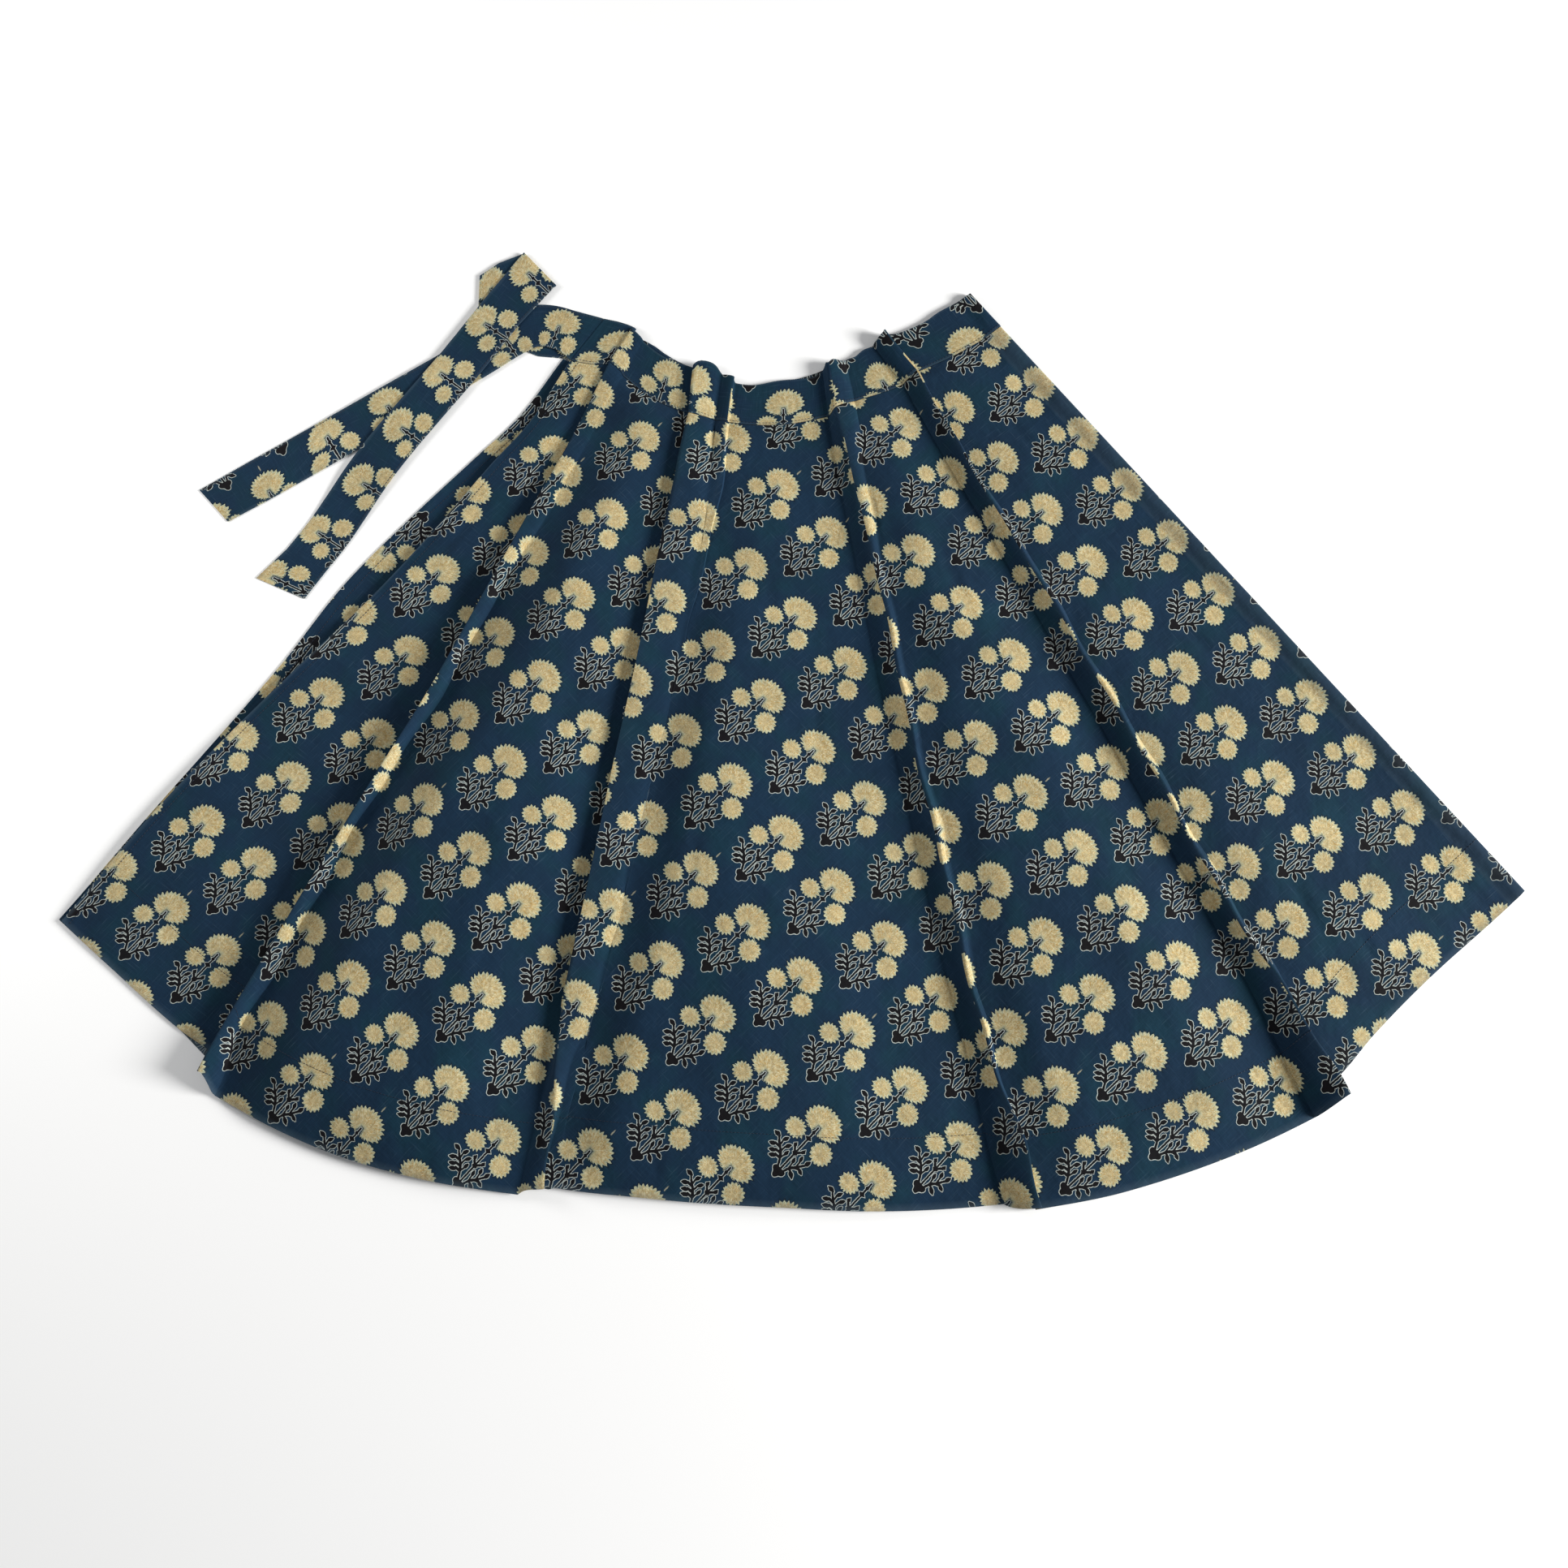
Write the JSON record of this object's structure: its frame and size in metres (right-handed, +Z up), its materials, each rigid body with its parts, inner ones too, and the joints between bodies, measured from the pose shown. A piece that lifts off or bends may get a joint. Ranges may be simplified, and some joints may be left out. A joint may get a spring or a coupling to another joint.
{
  "type": "wrap skirt",
  "caption": "Long flared wrap skirt in printed cotton, folded in half and laid flat with its free edges together, soft standing flutes, a plain waistband and flat ties.",
  "frame": {"origin": "centre of the footprint, on the surface the skirt lies on", "axes": "+Z up out of the surface, +Y towards the waistband, +X from the free edges towards the folded edge"},
  "size_m": [1.6244, 1.1185, 0.0379],
  "materials": {
    "printed_cotton": "matt indigo-dyed cotton with a resist-printed bouquet"
  },
  "bodies": {
    "root": {"skirt_panel": "printed_cotton", "waistband": "printed_cotton", "tie_over": "printed_cotton", "tie_under": "printed_cotton"}
  },
  "joints": []
}
